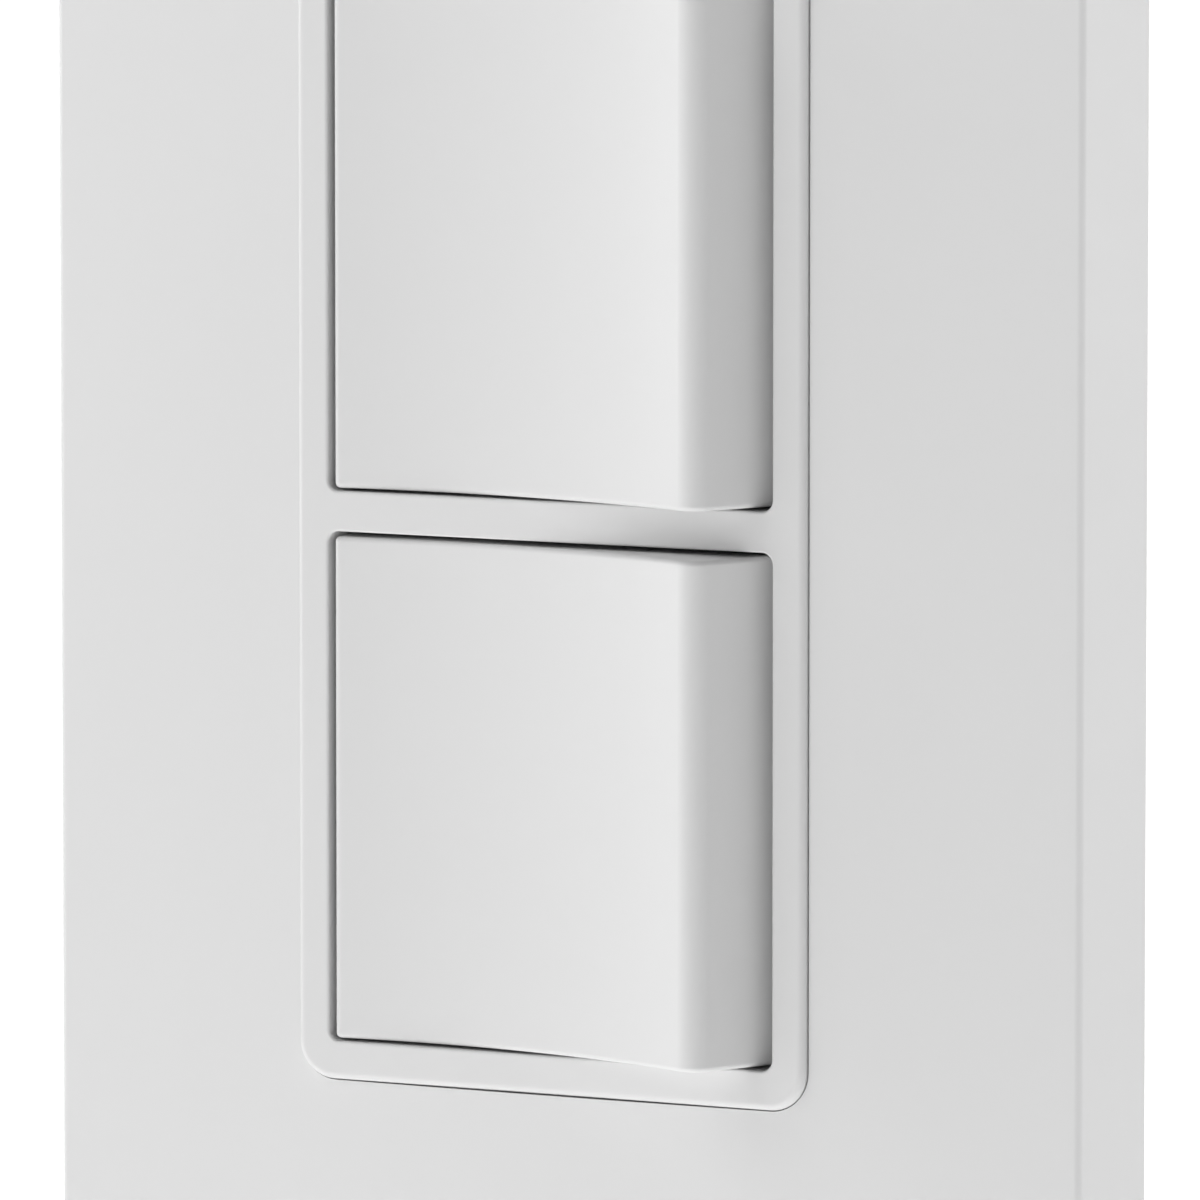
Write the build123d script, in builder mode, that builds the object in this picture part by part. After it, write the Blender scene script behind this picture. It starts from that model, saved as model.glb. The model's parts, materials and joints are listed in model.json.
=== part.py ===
"""Rocker wall switch: two side-to-side rockers in one device, behind a screwless wall plate.

Row frame: X to the right, Y into the wall, Z up, in millimetres. Y = 0 is the wall surface, where the
wall plate's rim rests, and the origin is the middle of the plate's back.
"Out" is the distance from the wall towards the room, so out = -Y.
Each rocker is stored with its left side pressed in and its right side standing out.
"""

from build123d import *
from math import cos, radians, sin, sqrt, tan
import os

# ---- general -----------------------------------------------------------------------------------
BITE = 0.3  # how far a joined feature starts inside the body that carries it
PAST = 1.0  # how far a cut runs past the surface that it opens
SLIP = 0.05  # room between a pin, shank or thread and its hole

# ---- wall plate --------------------------------------------------------------------------------
PLATE_W, PLATE_H, PLATE_CORNER_R, PLATE_INNER_R = 69.85, 114.3, 2.5, 1.2
PLATE_OUT, PLATE_CROWN_R = 6.73, 416.0  # crown line and barrel radius of the face
PLATE_DRAFT, PLATE_WALL = 15.8, 2.0
PLATE_EDGE_R = 0.5
OPENING_W, OPENING_H, OPENING_R = 33.35, 66.8, 2.4
COLLAR_RIM, COLLAR_GAP = 1.2, 0.3  # collar behind the opening, and its room in front of the flange
HOOK_Z, HOOK_L = (-38.0, -12.0, 12.0, 38.0), 7.0
HOOK_TIP_X, HOOK_OUT, HOOK_SLOPE = 31.2, (0.25, 1.2), 0.5
PRY_SLOT_W, PRY_SLOT_OUT, PRY_SLOT_DEPTH = 9.0, 1.0, 3.0
ADAPTER_W, ADAPTER_H, ADAPTER_T, ADAPTER_R = 63.8, 107.8, 1.4, 2.0
ADAPTER_RIM_W, ADAPTER_RIM_H, ADAPTER_RIM_T, ADAPTER_RIM_R = 61.8, 105.8, 1.2, 1.5
ADAPTER_GAP = 0.7  # room round the device's flange
ADAPTER_STRAP_GAP, HEAD_ROOM = 0.5, 0.2  # room beside the strap's ends and round the screw heads

# ---- face frame --------------------------------------------------------------------------------
FACE_OUT = 6.9
INSERT_W, INSERT_H, INSERT_R, INSERT_EDGE_R = 33.15, 66.66, 2.25, 0.45
WINDOW_W, WINDOW_H, WINDOW_R, WINDOW_EDGE_R = 29.05, 29.87, 0.7, 0.15
BAR = 2.36  # bar between the two windows
CELL_Z = BAR / 2 + WINDOW_H / 2
FLANGE_W, FLANGE_H, FLANGE_T, FLANGE_R = 39.0, 70.0, 1.3, 1.5
WINDOW_LIP, FRAME_WALL = 2.2, 1.2  # depth of the window's tight part, and the wall behind it
LEG_W, LEG_T, LEG_TIP_R = 6.8, 2.0, 2.3

# ---- strap -------------------------------------------------------------------------------------
STRAP_T, STRAP_BACK = 1.3, 0.05  # front and back of the strap, out from the wall
STRAP_W, STRAP_MID_H, STRAP_END_W, STRAP_H = 40.0, 75.2, 24.0, 106.4
STRAP_R, STRAP_END_R = 2.0, 3.0
STRAP_WINDOW_W, STRAP_WINDOW_H = 30.8, 66.6
BOX_SCREW_Z, PLATE_SCREW_Z = 83.34 / 2, 96.8 / 2
SLOT_L, SLOT_W = 7.0, 3.8
GROUND_X, GROUND_Y, GROUND_TAB_W, GROUND_TAB_Y, GROUND_TAB_R = 13.0, 4.6, 8.0, 9.0, 1.0

# ---- rockers -----------------------------------------------------------------------------------
PIVOT_Y = -0.44  # rocker axis
ROCK = 9.0  # degrees each side of the middle position
RIDGE_X, RIDGE_RISE = 12.91, 2.16  # side ridges, from the axis and above the frame in the middle position
FACE_R, END_EDGE_R = 48.0, 0.3
LEFT_RIDGE_R, RIGHT_RIDGE_R = 0.4, 1.2
SKIRT_DRAFT, SKIRT = 15.0, 6.2
ROCKER_H, ROCKER_WALL = 29.4, 1.6
ROCKER_DROP = 0.065  # how far the rocker hangs down in its bearings
TRUNNION_R, BEARING_R, BEARING_DEPTH, TRUNNION_END_GAP = 1.5, 1.55, 1.1, 0.05
EAR_R = 2.6
RIB_T, RIB_CUTBACK = 1.2, 0.8

# ---- plungers, measured from the rocker axis ----------------------------------------------------
STEM_R, STEM_BORE_R, STEM_END, SPRING_SEAT = 3.1, 1.85, 8.4, 1.3
PLUNGER_R, PLUNGER_TOP, PLUNGER_TIP, TIP_R, NOSE_ANGLE, TOP_BEVEL = 1.75, 5.4, 11.3, 1.0, 35.0, 0.2
SPRING_R, SPRING_WIRE_R, SPRING_TURNS, SPRING_END_GAP = 1.42, 0.2, 6, 0.02

# ---- contacts ----------------------------------------------------------------------------------
FULCRUM_Y, FULCRUM_R, CRADLE_R = 12.6, 0.6, 0.65
CONTACT_ROCK = 6.0  # degrees each side of the middle position
BAR_T, BAR_HALF, BAR_STRIP_H, BAR_EAR_T, BAR_EAR_HALF, BAR_EAR_TOP = 0.8, 8.6, 5.0, 0.8, 2.0, 1.5
BAR_RISE, BAR_BEND_X, BAR_V = 1.6, 4.0, 12.0
CONTACT_X, CONTACT_R, CONTACT_T, CONTACT_EDGE_R = 6.8, 1.6, 0.7, 0.25
RIVET_SHANK_R, RIVET_TAIL_R, RIVET_TAIL_T, RIVET_SLIP = 0.8, 1.2, 0.35, 0.02
CLOSED_GAP = 0.08
CRADLE_Y, CRADLE_BACK, CRADLE_HALF_X, CRADLE_H = 12.75, 14.0, 3.0, 7.2

# ---- housing and terminals ----------------------------------------------------------------------
HOUSING_W, HOUSING_H, HOUSING_D, HOUSING_R = 41.0, 70.0, 24.0, 2.5
HOUSING_WALL, HOUSING_BACK, HOUSING_BEVEL, CAVITY_R = 1.8, 2.0, 0.8, 0.8
RIVET_X, RIVET_Z, RIVET_R, RIVET_HEAD_R, RIVET_HEAD_T = 17.8, 31.5, 1.1, 1.9, 0.65
COLUMN_X, COLUMN_Z, COLUMN = 14.9, 28.6, 10.0  # inner corner and size of the corner columns
PARTITION_T, PARTITION_Y, PEDESTAL, CONTACT_PEDESTAL = 1.6, 2.2, (5.2, 4.8), (3.6, 4.0)
POCKET_WALL, ARM_ROOM, SEAT_DEPTH = 1.2, 0.15, 1.2
TERMINAL_Z, TERMINAL_Y = 14.0, 9.5
POCKET_X, POCKET_FLOOR, POCKET_H, POCKET_Y = 17.4, 2.2, 12.4, (3.6, 15.6)
TERMINAL_T, TERMINAL_H, TERMINAL_TOP_Y, TERMINAL_R = 1.0, 9.2, 4.7, 0.8
ARM_T, LOAD_ARM_T, LOAD_ARM_H, LOAD_ARM_END = 1.0, 0.8, 4.8, 4.8
LINK_Y, LINK_WAIST, LINK_NOTCH_Z, LINK_NOTCH_W = (7.6, 11.4), 1.6, 4.0, 1.2

# ---- screws ------------------------------------------------------------------------------------
THREAD_6_R, THREAD_8_R, POINT = 1.75, 2.08, 0.6  # outside radii of the threads, and the points' bevel
BOX_HEAD_R, BOX_HEAD_T, BOX_HEAD_EDGE, BOX_NECK_R, BOX_SCREW_L = 3.1, 1.8, 0.6, 1.6, 25.4
RETAINER_W, RETAINER_H, RETAINER_R, RETAINER_T, NECK_END = 11.0, 7.0, 1.2, 0.7, 0.9
ADAPTER_HEAD_R, ADAPTER_HEAD_T, ADAPTER_SCREW_L, ADAPTER_SLOT_D = 2.75, 1.0, 9.0, 0.6
TERMINAL_HEAD_R, TERMINAL_HEAD_T, TERMINAL_SCREW_L = 3.5, 1.7, 6.0
TERMINAL_HEAD_EDGE, TERMINAL_HEAD_BEVEL = 0.5, 0.9
GROUND_HEX, GROUND_HEAD_T, GROUND_THREAD_L, GROUND_BEVEL = 7.0, 2.2, 3.6, 0.4
DRIVE_SLOT_W, DRIVE_SLOT_D, DRIVE_CUT_L = 0.9, 0.9, 10.0

LEVELS = {"upper": CELL_Z, "lower": -CELL_Z}


# ---- helpers -----------------------------------------------------------------------------------
def facing_room(out):
    """Plane parallel to the wall, looking out of it: sketch x is X and sketch y is Z."""
    return Plane(origin=(0, -out, 0), x_dir=(1, 0, 0), z_dir=(0, -1, 0))


def facing_back(y, x=0.0, z=0.0):
    """Plane parallel to the wall, looking into it: sketch x is X and sketch y is -Z."""
    return Plane(origin=(x, y, z), x_dir=(1, 0, 0), z_dir=(0, 1, 0))


def facing_side(x, side):
    """Plane across X looking away from the middle on that side: sketch x is side * Y and sketch y is Z."""
    return Plane(origin=(x, 0, 0), x_dir=(0, side, 0), z_dir=(side, 0, 0))


def turned(angle, pivot_y, z=0.0):
    """Plane across Z through a pivot on the middle line, turned about Z by that many degrees."""
    a = radians(angle)
    return Plane(origin=(0, pivot_y, z), x_dir=(cos(a), sin(a), 0), z_dir=(0, 0, 1))


def looking_in(section, x, y, lean=0.0):
    """Plane at a point of a turned section plane, looking along that section's y, leaning if asked."""
    origin = section.from_local_coords(Vector(x, y, 0))
    a = radians(lean)
    x_dir = section.x_dir * cos(a) + section.y_dir * sin(a)
    z_dir = section.y_dir * cos(a) - section.x_dir * sin(a)
    return Plane(origin=origin, x_dir=x_dir, z_dir=z_dir)


def block(x, y, z):
    """A box between two X, two Y and two Z values, kept apart until it is added."""
    size = (x[1] - x[0], y[1] - y[0], z[1] - z[0])
    box = Box(*size, mode=Mode.PRIVATE)
    return Pos((x[0] + x[1]) / 2, (y[0] + y[1]) / 2, (z[0] + z[1]) / 2) * box


def about(middle, size):
    return (middle - size / 2, middle + size / 2)


def save(part, name):
    part.label = name
    export_step(part, f"parts/{name}.step")


# ---- wall plate --------------------------------------------------------------------------------
def crown_tool(lower_by):
    """Everything in front of the plate's barrel-shaped face, lowered by that much."""
    radius = PLATE_CROWN_R - lower_by
    depth = 20.0
    with BuildPart() as tool:
        with BuildSketch(Plane.XY):
            with Locations((0, -depth / 2)):
                Rectangle(PLATE_W + depth, depth)
            with Locations((0, radius - PLATE_OUT + lower_by)):
                Circle(radius, mode=Mode.SUBTRACT)
        extrude(amount=PLATE_H, both=True)
    return tool.part


def plate_outside(crown):
    with BuildPart() as outside:
        with BuildSketch(facing_room(0)):
            RectangleRounded(PLATE_W, PLATE_H, PLATE_CORNER_R)
        extrude(amount=PLATE_OUT + PAST, taper=PLATE_DRAFT)
        add(crown, mode=Mode.SUBTRACT)
        front = outside.faces().filter_by(GeomType.CYLINDER).sort_by(SortBy.AREA)[-1]
        fillet(front.edges(), PLATE_EDGE_R)
    return outside.part


def plate_inside(crown):
    with BuildPart() as inside:
        with BuildSketch(facing_room(0)):
            RectangleRounded(PLATE_W - 2 * PLATE_WALL, PLATE_H - 2 * PLATE_WALL, PLATE_INNER_R)
        extrude(amount=PLATE_OUT + PAST, taper=PLATE_DRAFT)
        add(crown, mode=Mode.SUBTRACT)
    return inside.part


def make_wall_plate_cover():
    outside = plate_outside(crown_tool(0))
    inside = plate_inside(crown_tool(PLATE_WALL))
    collar_back = STRAP_T + FLANGE_T + COLLAR_GAP
    collar_front = PLATE_OUT - PLATE_WALL + BITE
    wall_x = PLATE_W / 2 - PLATE_WALL + BITE
    with BuildPart() as cover:
        add(outside)
        add(inside, mode=Mode.SUBTRACT)
        with BuildSketch(facing_room(collar_back)):
            RectangleRounded(OPENING_W + 2 * COLLAR_RIM, OPENING_H + 2 * COLLAR_RIM, OPENING_R + COLLAR_RIM)
        extrude(amount=collar_front - collar_back)
        with BuildSketch(facing_room(0)):
            RectangleRounded(OPENING_W, OPENING_H, OPENING_R)
        extrude(amount=PLATE_OUT + PAST, mode=Mode.SUBTRACT)
        # hooks that snap behind the adapter's edge
        for side in (-1, 1):
            for z in HOOK_Z:
                with BuildSketch(Plane.XY.offset(z - HOOK_L / 2)):
                    with BuildLine():
                        Polyline(
                            (side * wall_x, -HOOK_OUT[0]),
                            (side * (HOOK_TIP_X + HOOK_SLOPE), -HOOK_OUT[0]),
                            (side * HOOK_TIP_X, -(HOOK_OUT[0] + HOOK_SLOPE)),
                            (side * HOOK_TIP_X, -HOOK_OUT[1]),
                            (side * wall_x, -HOOK_OUT[1]),
                            close=True,
                        )
                    make_face()
                extrude(amount=HOOK_L)
        # pry slot in the lower edge
        slot_z = (-PLATE_H / 2 - PAST, -PLATE_H / 2 + PRY_SLOT_DEPTH)
        add(block(about(0, PRY_SLOT_W), (-PRY_SLOT_OUT, PAST), slot_z), mode=Mode.SUBTRACT)
    save(cover.part, "wall_plate_cover")


def make_wall_plate_adapter():
    back, front = STRAP_T, STRAP_T + ADAPTER_T
    with BuildPart() as adapter:
        with BuildSketch(facing_room(back)):
            RectangleRounded(ADAPTER_W, ADAPTER_H, ADAPTER_R)
        extrude(amount=ADAPTER_T)
        with BuildSketch(facing_room(0)):
            RectangleRounded(ADAPTER_RIM_W, ADAPTER_RIM_H, ADAPTER_RIM_R)
            offset(amount=-ADAPTER_RIM_T, mode=Mode.SUBTRACT)
            Rectangle(STRAP_END_W + 2 * ADAPTER_STRAP_GAP, ADAPTER_H, mode=Mode.SUBTRACT)
        extrude(amount=back + BITE)
        head_r = BOX_HEAD_R + HEAD_ROOM
        with BuildSketch(facing_room(0)):
            RectangleRounded(FLANGE_W + 2 * ADAPTER_GAP, FLANGE_H + 2 * ADAPTER_GAP, FLANGE_R)
            for side in (-1, 1):
                with Locations((0, side * BOX_SCREW_Z)):
                    Circle(head_r)
                with Locations((0, side * (BOX_SCREW_Z - head_r))):
                    Rectangle(2 * head_r, 2 * head_r)
        extrude(amount=front + PAST, mode=Mode.SUBTRACT)
        for side in (-1, 1):
            with Locations(facing_room(front)):
                with Locations((0, side * PLATE_SCREW_Z)):
                    CounterSinkHole(THREAD_6_R + 3 * SLIP, ADAPTER_HEAD_R + 2 * SLIP)
    save(adapter.part, "wall_plate_adapter")


# ---- screws ------------------------------------------------------------------------------------
def make_adapter_screws():
    """Flat-head screws that hold the adapter to the strap."""
    front = STRAP_T + ADAPTER_T
    with BuildPart() as screws:
        for side in (-1, 1):
            with BuildSketch(Plane(origin=(0, 0, side * PLATE_SCREW_Z), x_dir=(1, 0, 0), z_dir=(0, 0, 1))):
                with BuildLine():
                    Polyline(
                        (0, -front),
                        (ADAPTER_HEAD_R, -front),
                        (THREAD_6_R, -front + ADAPTER_HEAD_T),
                        (THREAD_6_R, -front + ADAPTER_SCREW_L - POINT),
                        (THREAD_6_R - POINT, -front + ADAPTER_SCREW_L),
                        (0, -front + ADAPTER_SCREW_L),
                        close=True,
                    )
                make_face()
            revolve(axis=Axis((0, 0, side * PLATE_SCREW_Z), (0, 1, 0)))
            slot_y = (-front - PAST, -front + ADAPTER_SLOT_D)
            slot = block(about(0, DRIVE_CUT_L), slot_y, about(side * PLATE_SCREW_Z, DRIVE_SLOT_W))
            add(slot, mode=Mode.SUBTRACT)
    save(screws.part, "adapter_screws")


def make_box_screws():
    """Long screws that hold the strap to the wall box, with round heads in front of the strap."""
    tip = BOX_SCREW_L - STRAP_T
    head_top, head_edge = -STRAP_T - BOX_HEAD_T, -STRAP_T - BOX_HEAD_EDGE
    rise = head_edge - head_top
    dome_r = (BOX_HEAD_R**2 + rise**2) / (2 * rise)
    with BuildPart() as screws:
        for side in (-1, 1):
            z = side * BOX_SCREW_Z
            with BuildSketch(Plane(origin=(0, 0, z), x_dir=(1, 0, 0), z_dir=(0, 0, 1))):
                with BuildLine():
                    Polyline((0, head_top), (0, tip), (THREAD_6_R - POINT, tip))
                    Polyline((THREAD_6_R - POINT, tip), (THREAD_6_R, tip - POINT), (THREAD_6_R, NECK_END))
                    Polyline((THREAD_6_R, NECK_END), (BOX_NECK_R, NECK_END), (BOX_NECK_R, -STRAP_T))
                    Polyline((BOX_NECK_R, -STRAP_T), (BOX_HEAD_R, -STRAP_T), (BOX_HEAD_R, head_edge))
                    RadiusArc((BOX_HEAD_R, head_edge), (0, head_top), dome_r)
                make_face()
            revolve(axis=Axis((0, 0, z), (0, 1, 0)))
            slot_y = (head_top - PAST, head_top + DRIVE_SLOT_D)
            slot = block(about(0, DRIVE_CUT_L), slot_y, about(z, DRIVE_SLOT_W))
            add(slot, mode=Mode.SUBTRACT)
    save(screws.part, "box_screws")


def make_screw_retainers():
    """Washers that keep the box screws in the strap before it is fitted."""
    with BuildPart() as retainers:
        with BuildSketch(facing_back(0)):
            for side in (-1, 1):
                with Locations((0, side * BOX_SCREW_Z)):
                    RectangleRounded(RETAINER_W, RETAINER_H, RETAINER_R)
                    Circle(BOX_NECK_R + SLIP, mode=Mode.SUBTRACT)
        extrude(amount=RETAINER_T)
    save(retainers.part, "screw_retainers")


def make_terminal_screws(name, side, z_values):
    """Binding-head screws whose heads clamp a wire against the terminal plates on one side."""
    seat = POCKET_X + TERMINAL_T
    with BuildPart() as screws:
        for z in z_values:
            with BuildSketch(Plane(origin=(0, TERMINAL_Y, z), x_dir=(side, 0, 0), z_dir=(0, 0, side))):
                with BuildLine():
                    Polyline(
                        (seat, 0),
                        (seat, TERMINAL_HEAD_R),
                        (seat + TERMINAL_HEAD_T - TERMINAL_HEAD_EDGE, TERMINAL_HEAD_R),
                        (seat + TERMINAL_HEAD_T, TERMINAL_HEAD_R - TERMINAL_HEAD_BEVEL),
                        (seat + TERMINAL_HEAD_T, 0),
                        close=True,
                    )
                make_face()
                with BuildLine():
                    Polyline(
                        (seat + BITE, 0),
                        (seat + BITE, THREAD_8_R),
                        (seat - TERMINAL_SCREW_L + POINT, THREAD_8_R),
                        (seat - TERMINAL_SCREW_L, THREAD_8_R - POINT),
                        (seat - TERMINAL_SCREW_L, 0),
                        close=True,
                    )
                make_face()
            revolve(axis=Axis((0, TERMINAL_Y, z), (side, 0, 0)))
            face = seat + TERMINAL_HEAD_T
            ends = sorted((side * (face - DRIVE_SLOT_D), side * (face + PAST)))
            add(block(ends, about(TERMINAL_Y, DRIVE_CUT_L), about(z, DRIVE_SLOT_W)), mode=Mode.SUBTRACT)
    save(screws.part, name)


def make_ground_screw():
    """Hexagonal slotted screw in the strap's bent tab, with its head downwards."""
    tab_face = -STRAP_MID_H / 2 - STRAP_T
    with BuildPart() as screw:
        with BuildSketch(Plane(origin=(GROUND_X, GROUND_Y, tab_face), x_dir=(1, 0, 0), z_dir=(0, 0, -1))):
            RegularPolygon(GROUND_HEX / 2, 6, major_radius=False)
        extrude(amount=GROUND_HEAD_T)
        chamfer(screw.faces().sort_by(Axis.Z)[0].edges(), GROUND_BEVEL)
        with BuildSketch(Plane(origin=(GROUND_X, GROUND_Y, tab_face - BITE), z_dir=(0, 0, 1))):
            Circle(THREAD_8_R)
        extrude(amount=GROUND_THREAD_L)
        face = tab_face - GROUND_HEAD_T
        slot_z = (face - PAST, face + DRIVE_SLOT_D)
        slot = block(about(GROUND_X, DRIVE_CUT_L), about(GROUND_Y, DRIVE_SLOT_W), slot_z)
        add(slot, mode=Mode.SUBTRACT)
    save(screw.part, "ground_screw")


# ---- strap -------------------------------------------------------------------------------------
def make_mounting_strap():
    with BuildPart() as strap:
        with BuildSketch(facing_room(STRAP_BACK)):
            RectangleRounded(STRAP_W, STRAP_MID_H, STRAP_R)
            RectangleRounded(STRAP_END_W, STRAP_H, STRAP_END_R)
            Rectangle(STRAP_WINDOW_W, STRAP_WINDOW_H, mode=Mode.SUBTRACT)
            with Locations((0, BOX_SCREW_Z), (0, -BOX_SCREW_Z)):
                SlotOverall(SLOT_L, SLOT_W, mode=Mode.SUBTRACT)
            with Locations((0, PLATE_SCREW_Z), (0, -PLATE_SCREW_Z)):
                Circle(THREAD_6_R + SLIP, mode=Mode.SUBTRACT)
            with GridLocations(2 * RIVET_X, 2 * RIVET_Z, 2, 2):
                Circle(RIVET_R + SLIP, mode=Mode.SUBTRACT)
        extrude(amount=STRAP_T - STRAP_BACK)
        # tab bent back at the lower edge for the ground screw
        tab_z = (-STRAP_MID_H / 2 - STRAP_T, -STRAP_MID_H / 2)
        add(block(about(GROUND_X, GROUND_TAB_W), (-STRAP_T, GROUND_TAB_Y), tab_z))
        add(block(about(GROUND_X, GROUND_TAB_W), (-STRAP_T, -STRAP_BACK), (tab_z[0], tab_z[1] + 1)))
        with BuildSketch(Plane(origin=(GROUND_X, GROUND_Y, tab_z[0] - PAST), z_dir=(0, 0, 1))):
            Circle(THREAD_8_R + SLIP)
        extrude(amount=STRAP_T + 2 * PAST, mode=Mode.SUBTRACT)
        corners = strap.edges().filter_by(Axis.Z).sort_by(Axis.Y)[-2:]
        fillet(corners, GROUND_TAB_R)
    save(strap.part, "mounting_strap")


# ---- face frame --------------------------------------------------------------------------------
def make_face_frame():
    with BuildPart() as frame:
        with BuildSketch(facing_room(STRAP_T)):
            RectangleRounded(INSERT_W, INSERT_H, INSERT_R)
        extrude(amount=FACE_OUT - STRAP_T)
        fillet(frame.faces().sort_by(Axis.Y)[0].edges(), INSERT_EDGE_R)
        with BuildSketch(facing_room(STRAP_T)):
            RectangleRounded(FLANGE_W, FLANGE_H, FLANGE_R)
        extrude(amount=FLANGE_T)
        # windows: a tight lip at the face, and more room for the rockers' sides behind it
        for z in LEVELS.values():
            with BuildSketch(facing_room(0)):
                with Locations((0, z)):
                    RectangleRounded(WINDOW_W, WINDOW_H, WINDOW_R)
            extrude(amount=FACE_OUT + PAST, mode=Mode.SUBTRACT)
            room = about(0, INSERT_W - 2 * FRAME_WALL)
            add(block(room, (-FACE_OUT + WINDOW_LIP, PAST), about(z, WINDOW_H)), mode=Mode.SUBTRACT)
        front = frame.faces().sort_by(Axis.Y)[0]
        rims = [edge for wire in front.inner_wires() for edge in wire.edges()]
        fillet(rims, WINDOW_EDGE_R)
        # legs that carry the rockers' bearings through the strap's window
        window_end = CELL_Z + WINDOW_H / 2
        end_leg = window_end + LEG_T / 2
        for z, thick in ((0.0, BAR), (end_leg, LEG_T), (-end_leg, LEG_T)):
            add(block(about(0, LEG_W), (-STRAP_T - FLANGE_T, PIVOT_Y), about(z, thick)))
            with BuildSketch(Plane.XY.offset(z - thick / 2)):
                with Locations((0, PIVOT_Y)):
                    Circle(LEG_TIP_R)
            extrude(amount=thick)
        # blind bearing holes, two in the middle leg and one in each end leg
        for z, way in ((BAR / 2, -1), (-BAR / 2, 1), (window_end, 1), (-window_end, -1)):
            with BuildSketch(Plane(origin=(0, PIVOT_Y, z - PAST * way), z_dir=(0, 0, way))):
                Circle(BEARING_R)
            extrude(amount=BEARING_DEPTH + PAST, mode=Mode.SUBTRACT)
        # countersunk seats for the rivet heads
        with BuildSketch(facing_room(0)):
            with GridLocations(2 * RIVET_X, 2 * RIVET_Z, 2, 2):
                Circle(RIVET_R + SLIP)
        extrude(amount=STRAP_T + FLANGE_T + PAST, mode=Mode.SUBTRACT)
        with BuildSketch(facing_room(STRAP_T + FLANGE_T - RIVET_HEAD_T - SLIP)):
            with GridLocations(2 * RIVET_X, 2 * RIVET_Z, 2, 2):
                Circle(RIVET_HEAD_R + SLIP)
        extrude(amount=RIVET_HEAD_T + PAST, mode=Mode.SUBTRACT)
    save(frame.part, "face_frame")


# ---- rockers -----------------------------------------------------------------------------------
RIDGE_Y = -(FACE_OUT + PIVOT_Y + RIDGE_RISE)  # ridges, from the axis
FACE_CENTRE_Y = RIDGE_Y - sqrt(FACE_R**2 - RIDGE_X**2)
SKIRT_Y = RIDGE_Y + SKIRT


def side_x(y, inset=0.0):
    """Half width of the rocker's sloping sides at a depth y from the axis."""
    return RIDGE_X + (y - RIDGE_Y) * tan(radians(SKIRT_DRAFT)) - inset / cos(radians(SKIRT_DRAFT))


def rocker_section(inset):
    """Profile of the rocker's body, or of its hollow, open below, when inset by the wall."""
    top, bottom = RIDGE_Y, SKIRT_Y + (PAST if inset else 0)
    half_top, half_bottom = side_x(top, inset), side_x(bottom, inset)
    return [(-half_top, top), (half_top, top), (half_bottom, bottom), (-half_bottom, bottom)]


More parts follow.
